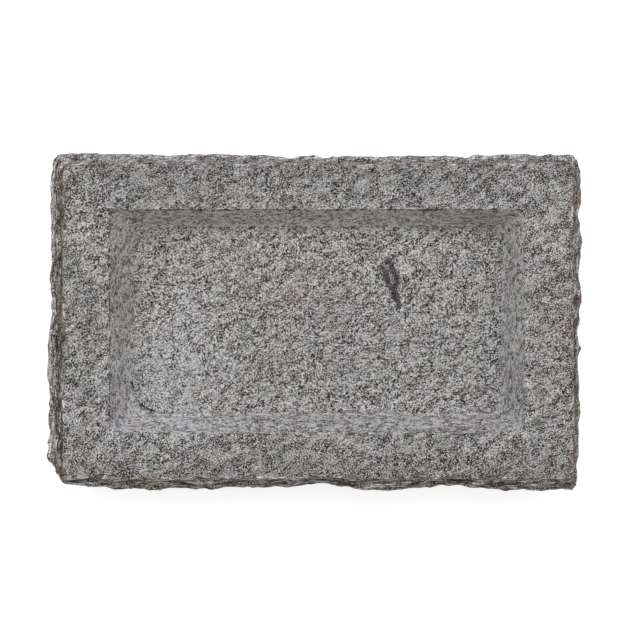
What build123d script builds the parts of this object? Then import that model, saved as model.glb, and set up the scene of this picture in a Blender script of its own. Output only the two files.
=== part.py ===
from build123d import *
import math
import os

# A granite bird bath: one block of stone with a flat top, split sides and a rectangular basin cut
# into it. The block rests on z = 0. X runs from left to right, Y from front to back and Z up. The
# origin is under the middle of the block's outline. Sizes are in millimetres.

# The whole block, measured over its split sides
BLOCK_LENGTH = 400.0
BLOCK_WIDTH = 252.0
BLOCK_HEIGHT = 80.0

# How far each split side stands out past the edge of the top
FRONT_BULGE = 11.0
RIGHT_BULGE = 9.5
BACK_BULGE = 10.0
LEFT_BULGE = 15.5

# Radii of the corners of the top
FRONT_LEFT_RADIUS = 14.0
FRONT_RIGHT_RADIUS = 5.0
BACK_RIGHT_RADIUS = 7.0
BACK_LEFT_RADIUS = 8.0

# Width of the rim on each side, from the edge of the top to the basin
FRONT_RIM = 32.5
RIGHT_RIM = 35.5
BACK_RIM = 33.5
LEFT_RIM = 34.0

# The basin, and how far each of its sloping walls runs inwards from the rim to the floor
BASIN_DEPTH = 40.0
FRONT_WALL_RUN = 12.0
RIGHT_WALL_RUN = 10.0
BACK_WALL_RUN = 9.2
LEFT_WALL_RUN = 11.1

# Radii of the basin's corners: all four at the rim, then each one at the floor
RIM_RADIUS = 4.0
FLOOR_FRONT_LEFT_RADIUS = 16.0
FLOOR_FRONT_RIGHT_RADIUS = 10.0
FLOOR_BACK_RIGHT_RADIUS = 8.0
FLOOR_BACK_LEFT_RADIUS = 15.0

# The rounded foot of the basin's walls, where they meet the floor
FLOOR_FILLET = 3.0

# How far the basin's cutter reaches above the top
CUT_OVERRUN = 2.0

# How far each side stands out at evenly spaced places along it, as shares of its bulge. The sides
# follow each other counter-clockwise round the block, seen from above.
FRONT_SHARES = (0.75, 0.9, 1.0, 0.95, 1.0, 0.85, 0.9, 0.7, 0.6, 0.85, 1.0, 0.95, 0.7, 0.8, 1.0, 1.0, 1.0)
RIGHT_SHARES = (0.75, 0.75, 0.85, 0.8, 0.85, 0.8, 1.0, 0.85, 0.95, 0.95, 1.0)
BACK_SHARES = (0.9, 1.0, 0.95, 0.8, 0.8, 0.85, 0.75, 0.75, 0.8, 0.7, 0.85, 0.85, 1.0, 0.75, 0.95, 0.95, 0.95)
LEFT_SHARES = (0.8, 0.85, 0.8, 0.8, 0.8, 0.7, 0.9, 1.0, 0.95, 0.9, 0.95)

# How far each corner stands out, as shares of the bulges of the side before it and the side after it
FRONT_LEFT_SHARES = (0.67, 0.65)
FRONT_RIGHT_SHARES = (1.05, 0.65)
BACK_RIGHT_SHARES = (0.75, 0.85)
BACK_LEFT_SHARES = (0.9, 0.65)

# Rings round the split sides from the edge of the top down to the ground: the depth of each ring as
# a share of the height, how far it stands out as a share of the bulge, and how deep its hollows are
# as a share of the deepest ones. The fullest ring has none, because its shares above say it all.
RING_SHARES = (
    (0.0, 0.0, 0.0), (0.11, 0.4, 0.25), (0.19, 1.0, 0.0), (0.38, 0.97, 0.8),
    (0.6, 0.9, 1.0), (0.82, 0.78, 0.9), (1.0, 0.5, 0.35),
)

# The hollows and ridges between split facets: the deepest hollow, how far a ring dips and rises as a
# share of the height, and how fast both change from place to place
HOLLOW_DEPTH = 6.0
RING_SWAY_SHARE = 0.045
FACET_TURN = math.radians(67)
RING_TURN = math.radians(131)

# Places worked out from the sizes
TOP_FRONT = FRONT_BULGE - BLOCK_WIDTH / 2
TOP_RIGHT = BLOCK_LENGTH / 2 - RIGHT_BULGE
TOP_BACK = BLOCK_WIDTH / 2 - BACK_BULGE
TOP_LEFT = LEFT_BULGE - BLOCK_LENGTH / 2
TOP_LENGTH = TOP_RIGHT - TOP_LEFT
TOP_WIDTH = TOP_BACK - TOP_FRONT


class Side:
    """One split side: a straight run along the top's edge with the rough stone standing out from it."""

    def __init__(self, start, along, length, radii, bulge, shares, corner_shares, first):
        self.start = start
        self.along = along
        self.outward = Vector(along.Y, -along.X)
        self.length = length
        self.start_radius, self.end_radius = radii
        self.bulge = bulge
        self.shares = shares
        self.corner_shares = corner_shares
        self.first = first

    def places(self, ring):
        """Points of one ring along this side, between its two corners."""
        run = self.length - self.start_radius - self.end_radius
        points = []
        for index, share in enumerate(self.shares):
            distance = self.start_radius + run * index / (len(self.shares) - 1)
            number = self.first + index
            out = self.bulge * share * RING_SHARES[ring][1] - hollow(ring, number)
            place = self.start + self.along * distance + self.outward * out
            points.append(place + Vector(0, 0, ring_height(ring, number)))
        return points

    def corner(self, ring, before):
        """The point of one ring where this side meets the side before it, half way round the corner."""
        inset = self.start_radius * (1 - math.sqrt(0.5))
        before_share, own_share = self.corner_shares
        inward = (self.along - before.along) * inset
        rough = before.outward * (before.bulge * before_share) + self.outward * (self.bulge * own_share)
        place = self.start + inward + rough * RING_SHARES[ring][1]
        return place + Vector(0, 0, BLOCK_HEIGHT * (1 - RING_SHARES[ring][0]))


def hollow(ring, number):
    """How far one place of a ring is hollowed out. Places are numbered all the way round the block."""
    share = (1 + math.sin(number**2 * FACET_TURN + ring * RING_TURN)) / 2
    return HOLLOW_DEPTH * RING_SHARES[ring][2] * share


def ring_height(ring, number):
    """Height of one place of a ring, which rises and dips except at the top and on the ground."""
    depth_share = RING_SHARES[ring][0]
    sway_share = RING_SWAY_SHARE * math.sin(math.pi * depth_share)
    return BLOCK_HEIGHT * (1 - depth_share + sway_share * math.cos(number**2 * RING_TURN + ring * FACET_TURN))


def split_sides():
    """The four split sides, counter-clockwise from the front one."""
    front = Side(
        Vector(TOP_LEFT, TOP_FRONT), Vector(1, 0), TOP_LENGTH, (FRONT_LEFT_RADIUS, FRONT_RIGHT_RADIUS),
        FRONT_BULGE, FRONT_SHARES, FRONT_LEFT_SHARES, 0,
    )
    place_count = len(FRONT_SHARES)
    right = Side(
        Vector(TOP_RIGHT, TOP_FRONT), Vector(0, 1), TOP_WIDTH, (FRONT_RIGHT_RADIUS, BACK_RIGHT_RADIUS),
        RIGHT_BULGE, RIGHT_SHARES, FRONT_RIGHT_SHARES, place_count,
    )
    place_count += len(RIGHT_SHARES)
    back = Side(
        Vector(TOP_RIGHT, TOP_BACK), Vector(-1, 0), TOP_LENGTH, (BACK_RIGHT_RADIUS, BACK_LEFT_RADIUS),
        BACK_BULGE, BACK_SHARES, BACK_RIGHT_SHARES, place_count,
    )
    place_count += len(BACK_SHARES)
    left = Side(
        Vector(TOP_LEFT, TOP_BACK), Vector(0, -1), TOP_WIDTH, (BACK_LEFT_RADIUS, FRONT_LEFT_RADIUS),
        LEFT_BULGE, LEFT_SHARES, BACK_LEFT_SHARES, place_count,
    )
    return [front, right, back, left]


def ring_points(sides, ring):
    """One closed ring of points round the block, from the front left corner."""
    points = []
    for number, side in enumerate(sides):
        points.append(side.corner(ring, sides[number - 1]))
        points.extend(side.places(ring))
    return points


def flat_face(points):
    """A flat face inside a closed run of points."""
    return Face(Wire.make_polygon(points, close=True))


def band_faces(upper, lower):
    """Flat triangles between two rings, with their diagonals turned by turns."""
    faces = []
    for index in range(len(upper)):
        high, high_next = upper[index - 1], upper[index]
        low, low_next = lower[index - 1], lower[index]
        if index % 2:
            faces += [flat_face([high, low, low_next]), flat_face([high, low_next, high_next])]
        else:
            faces += [flat_face([high, low, high_next]), flat_face([low, low_next, high_next])]
    return faces


def rough_block():
    """The block before the basin is cut: a flat top and underside with split facets all round."""
    sides = split_sides()
    rings = [ring_points(sides, ring) for ring in range(len(RING_SHARES))]
    faces = [flat_face(rings[0]), flat_face(rings[-1])]
    for upper, lower in zip(rings, rings[1:]):
        faces += band_faces(upper, lower)
    return Solid(Shell(faces))


def basin_section(depth):
    """The basin's outline at a depth below the top, as a face. A negative depth is above the top."""
    share = depth / BASIN_DEPTH
    front = TOP_FRONT + FRONT_RIM + FRONT_WALL_RUN * share
    right = TOP_RIGHT - RIGHT_RIM - RIGHT_WALL_RUN * share
    back = TOP_BACK - BACK_RIM - BACK_WALL_RUN * share
    left = TOP_LEFT + LEFT_RIM + LEFT_WALL_RUN * share
    floor_radii = (
        FLOOR_FRONT_LEFT_RADIUS, FLOOR_FRONT_RIGHT_RADIUS, FLOOR_BACK_RIGHT_RADIUS, FLOOR_BACK_LEFT_RADIUS,
    )
    radii = [RIM_RADIUS + (radius - RIM_RADIUS) * share for radius in floor_radii]
    height = BLOCK_HEIGHT - depth
    corners = [(left, front, height), (right, front, height), (right, back, height), (left, back, height)]
    return Face(Wire(FilletPolyline(corners, radius=radii, close=True).edges()))


def basin_cutter():
    """The space of the basin, with its sloping walls carried on above the top."""
    cutter = loft([basin_section(BASIN_DEPTH), basin_section(-CUT_OVERRUN)], ruled=True)
    floor_edges = cutter.edges().group_by(Axis.Z)[0]
    return fillet(floor_edges, FLOOR_FILLET)


granite_block = rough_block() - basin_cutter()

os.makedirs("parts", exist_ok=True)
export_step(granite_block, "parts/granite_block.step")
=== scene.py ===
"""Granite bird bath: one rough block of stone with a basin in its top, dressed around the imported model.

The stone is one closed mesh. Rings run round it from the foot of the basin's walls, up the walls, over the
rim, past the broken edge of the top, down the split sides and in under the block. A flat patch closes the
basin's floor and one face closes the underside. All lengths are in metres unless a name ends in _mm.
"""

from __future__ import annotations

import logging
import math
from collections.abc import Iterable, Sequence
from dataclasses import dataclass
from enum import Enum

import bpy
import numpy as np
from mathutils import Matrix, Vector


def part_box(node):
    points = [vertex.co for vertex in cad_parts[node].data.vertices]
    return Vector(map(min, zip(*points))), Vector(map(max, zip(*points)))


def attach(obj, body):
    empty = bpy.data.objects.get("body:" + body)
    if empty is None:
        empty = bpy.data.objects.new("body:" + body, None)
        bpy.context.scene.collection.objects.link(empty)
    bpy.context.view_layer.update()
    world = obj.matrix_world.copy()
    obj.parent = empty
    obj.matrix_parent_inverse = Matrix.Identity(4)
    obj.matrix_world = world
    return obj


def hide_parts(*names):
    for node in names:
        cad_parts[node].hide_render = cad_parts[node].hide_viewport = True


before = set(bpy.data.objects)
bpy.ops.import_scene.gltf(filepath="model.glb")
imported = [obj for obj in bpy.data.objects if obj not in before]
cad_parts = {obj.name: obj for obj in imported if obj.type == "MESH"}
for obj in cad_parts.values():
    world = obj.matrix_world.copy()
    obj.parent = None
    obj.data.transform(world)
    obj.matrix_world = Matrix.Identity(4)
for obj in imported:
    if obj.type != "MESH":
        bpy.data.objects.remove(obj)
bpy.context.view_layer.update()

MM = 0.001
log = logging.getLogger("bird_bath")

# The diagonal point of a rounded corner lies this share of its radius in from both sides
CORNER_SHARE = 1 - math.sqrt(0.5)


class Zone(Enum):
    """Numbers kept on the mesh's points for the material, by the name of each one's attribute.

    WALL is 1 on the basin's walls, SIDE grows from 0 to 1 over the edge of the top onto the split sides,
    and CALM is larger where the stone is worn smoother. TURN is 0 where the stone faces front or back and 1
    where it faces left or right. RELIEF is how far the rough surface stands proud of the smooth one, which
    the material paints as light on ridges and shade in hollows. TONE is a change of brightness, partly the
    stone's own and partly painted light and shade, and WARMTH is how much browner or bluer the stone is, both
    in broad patches. CREASE is where shade is painted dark at the head and the foot of the basin's walls, and
    VEIN is the strength of the dark mineral vein in its floor. DROP is the distance in millimetres down the
    split side from the edge of the top.
    """

    WALL = "wall"
    CALM = "calm"
    SIDE = "side"
    TURN = "turn"
    RELIEF = "relief"
    TONE = "tone"
    CREASE = "crease"
    VEIN = "vein"
    DROP = "drop"
    WARMTH = "warmth"


# Each side's direction seen from above, counter-clockwise from the front one, and the way that it faces
ALONG = np.array([(1.0, 0.0), (0.0, 1.0), (-1.0, 0.0), (0.0, -1.0)])
OUTWARD = np.array([(0.0, -1.0), (1.0, 0.0), (0.0, 1.0), (-1.0, 0.0)])


def lattice_value(cells: np.ndarray, seed: int) -> np.ndarray:
    """Gives each whole-number cell a fixed value from 0 to 1, by mixing its three numbers and the seed.

    Args:
        cells: Whole-number places, shape (..., 3).
        seed: Number of this pattern.

    Returns:
        One value for each place, shape (...).
    """
    whole = cells.astype(np.int64).astype(np.uint32)
    mixed = whole[..., 0] * np.uint32(374761393) + whole[..., 1] * np.uint32(668265263)
    mixed += whole[..., 2] * np.uint32(2246822519) + np.uint32(seed * 3266489917 % 2**32)
    mixed = (mixed ^ (mixed >> np.uint32(15))) * np.uint32(2246822519)
    mixed = (mixed ^ (mixed >> np.uint32(13))) * np.uint32(3266489917)
    mixed ^= mixed >> np.uint32(16)
    return mixed / 2.0**32


def smooth_noise(points: np.ndarray, cell: float, seed: int) -> np.ndarray:
    """Smooth noise from about -1 to 1: each corner of a cubic lattice tilts the value in its own direction,
    and the eight corners round a point are blended with an ease curve.

    Args:
        points: Places, shape (..., 3).
        cell: Size of the lattice's cells.
        seed: Number of this pattern.

    Returns:
        The noise at each place, shape (...).
    """
    scaled = points / cell
    base = np.floor(scaled)
    part = scaled - base
    ease = part**3 * (part * (part * 6 - 15) + 10)
    total = np.zeros(points.shape[:-1])
    for corner in np.ndindex(2, 2, 2):
        step = np.array(corner)
        cells = base + step
        tilt = np.stack([lattice_value(cells, seed * 3 + axis) for axis in range(3)], axis=-1) * 2 - 1
        weight = np.prod(np.where(step, ease, 1 - ease), axis=-1)
        total += weight * np.sum(tilt * (part - step), axis=-1)
    return total * 1.6


def layered_noise(points: np.ndarray, cell: float, layers: int, seed: int) -> np.ndarray:
    """Adds layers of smooth noise, each half as large and about half as strong as the one before.

    Args:
        points: Places, shape (..., 3).
        cell: Size of the coarsest layer's cells.
        layers: How many layers are added.
        seed: Number of the first layer's pattern.

    Returns:
        The noise at each place, from about -1 to 1.
    """
    total = np.zeros(points.shape[:-1])
    for layer in range(layers):
        total += smooth_noise(points, cell / 2**layer, seed + layer) * 0.55**layer
    return total


def scars(points: np.ndarray, cell: float, seed: int) -> np.ndarray:
    """Shallow bowls that meet in sharp ridges, as where stone has flaked: the squared distance to the nearest
    of scattered centres, each with its own head start.

    Args:
        points: Places, shape (..., 3).
        cell: Usual distance between bowls.
        seed: Number of this pattern.

    Returns:
        Height in each bowl, 0 at the deepest and about 1 on the ridges.
    """
    scaled = points / cell
    base = np.floor(scaled)
    nearest = np.full(points.shape[:-1], 9.0)
    for step in np.ndindex(3, 3, 3):
        cells = base + (np.array(step) - 1)
        centre = cells + np.stack([lattice_value(cells, seed * 5 + axis) for axis in range(3)], axis=-1)
        height = np.sum((scaled - centre) ** 2, axis=-1) + 0.35 * lattice_value(cells, seed * 5 + 3)
        nearest = np.minimum(nearest, height)
    return nearest


def smooth_max(low: np.ndarray, other: float, width: float) -> np.ndarray:
    """The larger of two heights, rounded over where they are within a width of each other."""
    overlap = np.clip(width - np.abs(low - other), 0, None) / width
    return np.maximum(low, other) + overlap**2 * width / 4


def eased(value: np.ndarray, start: float, end: float) -> np.ndarray:
    """Rises from 0 at start to 1 at end, level at both. Start may be the larger of the two."""
    share = np.clip((value - start) / (end - start), 0, 1)
    return share * share * (3 - 2 * share)


def chip(places: np.ndarray, centre: np.ndarray, radius: float) -> None:
    """Breaks a bowl out of a surface: every place inside a ball is moved out to the ball's surface.

    Args:
        places: Places on the surface, shape (count, 3), which are changed.
        centre: The ball's centre.
        radius: Its radius.
    """
    offset = places - centre
    gap = np.linalg.norm(offset, axis=1)
    inside = gap < radius
    places[inside] = centre + offset[inside] / gap[inside, None] * radius


@dataclass(frozen=True)
class Outline:
    """A rectangle seen from above, with its own radius at each corner."""

    front: float
    right: float
    back: float
    left: float
    radii: tuple[float, float, float, float]

    def numbers(self) -> np.ndarray:
        """The places of the four sides and the four radii."""
        return np.array([self.front, self.right, self.back, self.left, *self.radii])

    def mixed(self, other: Outline, share: float) -> Outline:
        """The outline at a share of the way to another one, also before this one or past the other."""
        front, right, back, left, *radii = self.numbers() + (other.numbers() - self.numbers()) * share
        return Outline(front, right, back, left, tuple(radii))

    def inside(self, distances_mm: Sequence[float], radii_mm: Sequence[float]) -> Outline:
        """The outline with each side moved inwards by its own distance, and with new radii.

        Args:
            distances_mm: The distances, from the front side's.
            radii_mm: The corners' radii, from the front left one's.

        Returns:
            The new outline.
        """
        front, right, back, left = (distance * MM for distance in distances_mm)
        radii = tuple(radius * MM for radius in radii_mm)
        return Outline(self.front + front, self.right - right, self.back - back, self.left + left, radii)

    def drawn_in(self, distance: float) -> Outline:
        """The outline moved inwards all round.

        Args:
            distance: How far it is moved.

        Returns:
            The new outline, whose radii are smaller by that much.
        """
        return Outline(
            self.front + distance, self.right - distance, self.back - distance, self.left + distance,
            tuple(max(radius - distance, MM) for radius in self.radii),
        )

    def corners(self) -> np.ndarray:
        """The four corners before they are rounded, from the front left one."""
        left, right = self.left, self.right
        return np.array([(left, self.front), (right, self.front), (right, self.back), (left, self.back)])


@dataclass(frozen=True)
class RingPlaces:
    """The places that every ring has: the same count along each side, spread evenly between its corners."""

    long_count: int = 222
    short_count: int = 128

    def counts(self) -> tuple[int, int, int, int]:
        """How many places each side has, from the front one."""
        return self.long_count, self.short_count, self.long_count, self.short_count

    def inner_shape(self) -> tuple[int, int]:
        """Rows and columns of the grid inside the innermost ring."""
        return self.short_count - 1, self.long_count - 1

    def sides(self) -> np.ndarray:
        """The side of each place, 0 for the front to 3 for the left."""
        return np.repeat(np.arange(4), self.counts())

    def shares(self) -> np.ndarray:
        """How far each place is along its side, from 0 to just under 1."""
        return np.concatenate([np.arange(count) / count for count in self.counts()])

    def along(self, outline: Outline) -> tuple[np.ndarray, np.ndarray, np.ndarray]:
        """Distance of each place from its side's first corner and from its last one, and the side's number.

        Args:
            outline: The ring's outline.

        Returns:
            Distances from the first corner, distances to the last corner, and sides.
        """
        side, share = self.sides(), self.shares()
        corners = outline.corners()
        lengths = np.linalg.norm(np.roll(corners, -1, axis=0) - corners, axis=1)
        radii = np.array(outline.radii)
        start, end = CORNER_SHARE * radii[side], CORNER_SHARE * np.roll(radii, -1)[side]
        distance = start + share * (lengths[side] - start - end)
        return distance, lengths[side] - distance, side

    def on(self, outline: Outline) -> tuple[np.ndarray, np.ndarray]:
        """Places of one ring and their outward directions. Within a radius of a corner the place is set in by
        the radius less the height of the corner's arc there.

        Args:
            outline: The ring's outline.

        Returns:
            Places, shape (count, 2), and unit directions, shape (count, 2).
        """
        distance, rest, side = self.along(outline)
        radii = np.array(outline.radii)
        places = outline.corners()[side] + ALONG[side] * distance[:, None]
        direction = OUTWARD[side].copy()
        for radius, gap, sign in ((radii[side], distance, -1), (np.roll(radii, -1)[side], rest, 1)):
            reach = np.clip(radius - gap, 0, None)
            arc = np.sqrt(radius**2 - reach**2)
            places -= OUTWARD[side] * (radius - arc)[:, None]
            lean = ALONG[side] * (sign * reach / radius)[:, None]
            direction += lean + OUTWARD[side] * (arc / radius - 1)[:, None]
        return places, direction / np.linalg.norm(direction, axis=1, keepdims=True)


Rows = tuple[tuple[float, float, float, int], ...]


@dataclass(frozen=True)
class Roughness:
    """The rough surface in millimetres. A row of noise is a height, the size of the coarsest swells, how many
    layers there are and the pattern's number. A row of bowls has how flat they lie in place of the layers.
    """

    top: Rows = ((0.32, 60.0, 1, 1), (0.3, 9.0, 3, 5))
    walls: Rows = ((0.4, 45.0, 1, 11), (0.35, 13.0, 3, 15))
    split: Rows = ((0.8, 12.0, 4, 31),)
    bowls: Rows = ((1.5, 15.0, 1.3, 21), (0.8, 7.0, 1.5, 23))
    usual_bowl: float = 0.45
    ledge: tuple[float, float, int, int] = (1.3, 9.0, 3, 41)
    ledge_stretch: float = 0.3
    usual_ledge_mm: float = 0.9

    def noise(self, places: np.ndarray, rows: Rows) -> np.ndarray:
        """Adds up rows of noise, in millimetres."""
        return sum(height * layered_noise(places, size * MM, *pattern) for height, size, *pattern in rows)

    def split_side(self, places: np.ndarray, facing: np.ndarray) -> np.ndarray:
        """Height of a split side in millimetres: the bowls of large and small scars, coarse noise, and ledges
        where noise drawn out along the side crosses 0.

        Args:
            places: Places on the smooth surface, shape (count, 3).
            facing: 0 where the stone faces front or back, 1 where it faces left or right.

        Returns:
            The height at each place.
        """
        bowls = sum(
            height * (scars(places * np.array([1.0, 1.0, flat]), size * MM, seed) - self.usual_bowl)
            for height, size, flat, seed in self.bowls
        )
        ledge_height, size, *pattern = self.ledge
        ledges = [
            1 - 2 * np.abs(layered_noise(places * np.array(stretch), size * MM, *pattern))
            for stretch in ((self.ledge_stretch, 1.0, 1.0), (1.0, self.ledge_stretch, 1.0))
        ]
        ledge = ledge_height * (ledges[0] * (1 - facing) + ledges[1] * facing)
        return bowls + self.noise(places, self.split) + ledge - self.usual_ledge_mm


@dataclass(frozen=True)
class Chips:
    """Small chips along an edge: how many, the radii of their balls, how deep they bite, and 1 for an edge
    that faces away from the basin or -1 for one that faces into it.
    """

    count: int
    radii_mm: tuple[float, float]
    depths_mm: tuple[float, float]
    outwards: float


@dataclass(frozen=True)
class StoneSizes:
    """Driving sizes of the stone in millimetres, and the shares that its split sides follow.

    The sides' values stand in the order front, right, back, left, and the corners' in the order front left,
    front right, back right, back left.
    """

    bulges_mm: tuple[float, ...] = (11.0, 9.5, 10.0, 15.5)
    corner_radii_mm: tuple[float, ...] = (14.0, 5.0, 7.0, 8.0)
    rims_mm: tuple[float, ...] = (32.5, 35.5, 33.5, 34.0)
    wall_runs_mm: tuple[float, ...] = (12.0, 10.0, 9.2, 11.1)
    basin_depth_mm: float = 40.0
    rim_radius_mm: float = 4.0
    floor_radii_mm: tuple[float, ...] = (16.0, 10.0, 8.0, 15.0)
    full_radii_mm: tuple[float, ...] = (8.0, 5.0, 7.0, 6.0)
    side_shares: tuple[tuple[float, ...], ...] = (
        (0.75, 0.9, 1.0, 0.95, 1.0, 0.85, 0.9, 0.7, 0.6, 0.85, 1.0, 0.95, 0.7, 0.8, 1.0, 1.0, 1.0),
        (0.75, 0.75, 0.85, 0.8, 0.85, 0.8, 1.0, 0.85, 0.95, 0.95, 1.0),
        (0.9, 1.0, 0.95, 0.8, 0.8, 0.85, 0.75, 0.75, 0.8, 0.7, 0.85, 0.85, 1.0, 0.75, 0.95, 0.95, 0.95),
        (0.8, 0.85, 0.8, 0.8, 0.8, 0.7, 0.9, 1.0, 0.95, 0.9, 0.95),
    )
    corner_shares: tuple[tuple[float, float], ...] = ((0.6, 0.6), (1.0, 0.7), (0.78, 0.88), (0.9, 0.66))
    ring_shares: tuple[tuple[float, float, float], ...] = (
        (0.0, 0.0, 0.0), (0.11, 0.4, 0.25), (0.19, 1.0, 0.0), (0.38, 0.97, 0.8),
        (0.6, 0.9, 1.0), (0.82, 0.78, 0.9), (1.0, 0.5, 0.35),
    )
    hollow_mm: float = 6.0
    ring_sway_share: float = 0.045
    facet_turn: float = math.radians(67)
    ring_turn: float = math.radians(131)
    corner_fade_mm: float = 14.0
    foot_round_mm: float = 7.0
    edge_round_mm: float = 1.7
    top_inset_mm: float = 1.6
    roughness: Roughness = Roughness()
    top_chips: Chips = Chips(74, (4.0, 15.0), (0.5, 2.6), 1.0)
    basin_chips: Chips = Chips(60, (2.0, 5.5), (0.3, 1.0), -1.0)


class BirdBath:
    """The stone's shape: rings and a floor patch, worked out as whole arrays."""

    def __init__(self, sizes: StoneSizes, places: RingPlaces) -> None:
        """Takes the block's outer box from the imported model and works out the outlines of its parts.

        Args:
            sizes: Driving sizes of the stone.
            places: Places round each ring.
        """
        self.sizes = sizes
        self.places = places
        low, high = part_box("granite_block")
        self.height = high[2] - low[2]
        block = Outline(low[1], high[0], high[1], low[0], (0.0,) * 4)
        self.full = block.inside((0.0,) * 4, sizes.full_radii_mm)
        self.top = block.inside(sizes.bulges_mm, sizes.corner_radii_mm)
        self.rim = self.top.inside(sizes.rims_mm, (sizes.rim_radius_mm,) * 4)
        self.floor = self.rim.inside(sizes.wall_runs_mm, sizes.floor_radii_mm)
        self.depth = sizes.basin_depth_mm * MM

    def flat_ring(self, outline: Outline, height: float) -> np.ndarray:
        """The ring on an outline at a height, shape (count, 3)."""
        places, _ = self.places.on(outline)
        return np.column_stack([places, np.full(len(places), height)])

    def wall_rings(self) -> list[np.ndarray]:
        """Rings from the floor up to the rim. The wall's straight slope is rounded into the floor and over
        the rim's edge.

        Returns:
            The rings, shape (count, 3) each, one for each of WALL_RING_SHARES.
        """
        rings = []
        for share in WALL_RING_SHARES:
            height = smooth_max(np.array(-self.depth * share), -self.depth, self.sizes.foot_round_mm * MM)
            height = -smooth_max(-height, 0.0, self.sizes.edge_round_mm * MM)
            rings.append(self.flat_ring(self.rim.mixed(self.floor, share), self.height + height))
        return rings

    def rim_rings(self) -> list[np.ndarray]:
        """Flat rings from the basin's edge out to the edge of the top.

        Returns:
            The rings, shape (count, 3) each, one for each of RIM_RING_SHARES.
        """
        inner = self.rim.mixed(self.floor, RIM_START_SHARE)
        outer = self.top.drawn_in(self.sizes.top_inset_mm * MM)
        return [self.flat_ring(inner.mixed(outer, share), self.height) for share in RIM_RING_SHARES]

    def from_stations(
        self, out: float, values: Iterable[Iterable[float]], corners: Sequence[tuple[float, float]],
    ) -> np.ndarray:
        """Values at every place of a ring, by straight lines from station to station along each side.

        Args:
            out: How far the ring is on its way from the edge of the top to the fullest ring, from 0 to 1.
            values: Each side's values at its stations, which are spread evenly between the top's corners.
            corners: Each corner's values, for the side that ends there and the side that starts there.

        Returns:
            The value at each place, shape (count,).
        """
        distance, rest, side = self.places.along(self.top.mixed(self.full, out))
        reach = np.array(self.sizes.bulges_mm) * MM * out
        radii = self.top.radii
        result = np.zeros(len(side))
        for number, stations in enumerate(values):
            mine = side == number
            before, after = (number - 1) % 4, (number + 1) % 4
            length = (distance + rest)[mine][0]
            last = length - reach[after] - radii[after]
            where = np.linspace(reach[before] + radii[number], last, len(stations))
            ends = corners[number][1], corners[after][0]
            result[mine] = np.interp(distance[mine], [0, *where, length], [ends[0], *stations, ends[1]])
        return result

    def main_ring(self, number: int) -> np.ndarray:
        """One of the main rings of the split sides, which the solid has too.

        The outline between the edge of the top and the block's box is drawn in where the side's shares say
        so. Near a corner the other side that meets there draws it in too, less and less away from the
        corner. Each station's hollow and rise come from waves whose phase grows with the square of the
        station's number, so neighbours differ as if by chance.

        Args:
            number: The ring's number from the edge of the top.

        Returns:
            The ring's places, shape (count, 3).
        """
        sizes = self.sizes
        depth_share, out, hollow_share = sizes.ring_shares[number]
        outline = self.top.mixed(self.full, out)
        places, _ = self.places.on(outline)
        distance, rest, side = self.places.along(outline)
        bulges = np.array(sizes.bulges_mm) * MM
        counts = [len(shares) for shares in sizes.side_shares]
        square = np.arange(sum(counts)) ** 2
        splits = np.cumsum(counts)[:-1]
        hollows = np.split((1 + np.sin(square * sizes.facet_turn + number * sizes.ring_turn)) / 2, splits)
        rises = np.split(np.cos(square * sizes.ring_turn + number * sizes.facet_turn), splits)
        level = ((0.0, 0.0),) * 4

        shares = self.from_stations(out, sizes.side_shares, sizes.corner_shares)
        hollow = self.from_stations(out, hollows, level) * sizes.hollow_mm * MM * hollow_share
        places -= OUTWARD[side] * ((1 - shares) * bulges[side] * out + hollow)[:, None]
        corner_shares = np.array(sizes.corner_shares)
        for other, gap, share in (
            ((side - 1) % 4, distance, corner_shares[side, 0]),
            ((side + 1) % 4, rest, corner_shares[(side + 1) % 4, 1]),
        ):
            fade = np.clip(1 - gap / (sizes.corner_fade_mm * MM), 0, 1)
            places -= OUTWARD[other] * (fade * (1 - share) * bulges[other] * out)[:, None]
        sway = sizes.ring_sway_share * math.sin(math.pi * depth_share) * self.from_stations(out, rises, level)
        return np.column_stack([places, self.height * (1 - depth_share + sway)])

    def side_rings(self) -> tuple[list[np.ndarray], list[float]]:
        """Rings from the edge of the top down the split sides and in under the block.

        Returns:
            The rings, and each one's depth as a share of the height.
        """
        main = [self.main_ring(number) for number in range(len(self.sizes.ring_shares))]
        depth_shares = [row[0] for row in self.sizes.ring_shares]
        rings, shares = [], []
        for inset, drop in EDGE_RINGS_MM:
            rings.append(self.flat_ring(self.top.drawn_in(inset * MM), self.height - drop * MM))
            shares.append(drop * MM / self.height)
        for number, steps in enumerate(SIDE_STEPS):
            for step in range(steps):
                part = (step + (0.0 if number else FIRST_SIDE_STEP)) / steps
                rings.append(main[number] * (1 - part) + main[number + 1] * part)
                shares.append(depth_shares[number] * (1 - part) + depth_shares[number + 1] * part)
        last = main[-1]
        inwards = np.roll(last, 1, axis=0) - np.roll(last, -1, axis=0)
        inwards = inwards[:, [1, 0]] * (1, -1) / np.linalg.norm(inwards, axis=1, keepdims=True)
        for inset, painted_ledge_highlight in UNDER_RINGS_MM:
            ring = last[:, :2] + inwards * inset * MM
            rings.append(np.column_stack([ring, np.full(len(ring), painted_ledge_highlight * MM)]))
            shares.append(1 - painted_ledge_highlight * MM / self.height)
        return rings, shares

    def borders(self, ring: np.ndarray) -> tuple[np.ndarray, ...]:
        """Cuts a ring into its four sides.

        Args:
            ring: Anything that each place of a ring has, shape (count, ...).

        Returns:
            The front, right, back and left side, each with both ends, from left to right or front to back.
        """
        closed = np.concatenate([ring, ring[:1]])
        ends = np.cumsum([0, *self.places.counts()])
        front, right, back, left = (closed[start: end + 1] for start, end in zip(ends, ends[1:]))
        return front, right, back[::-1], left[::-1]

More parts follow.
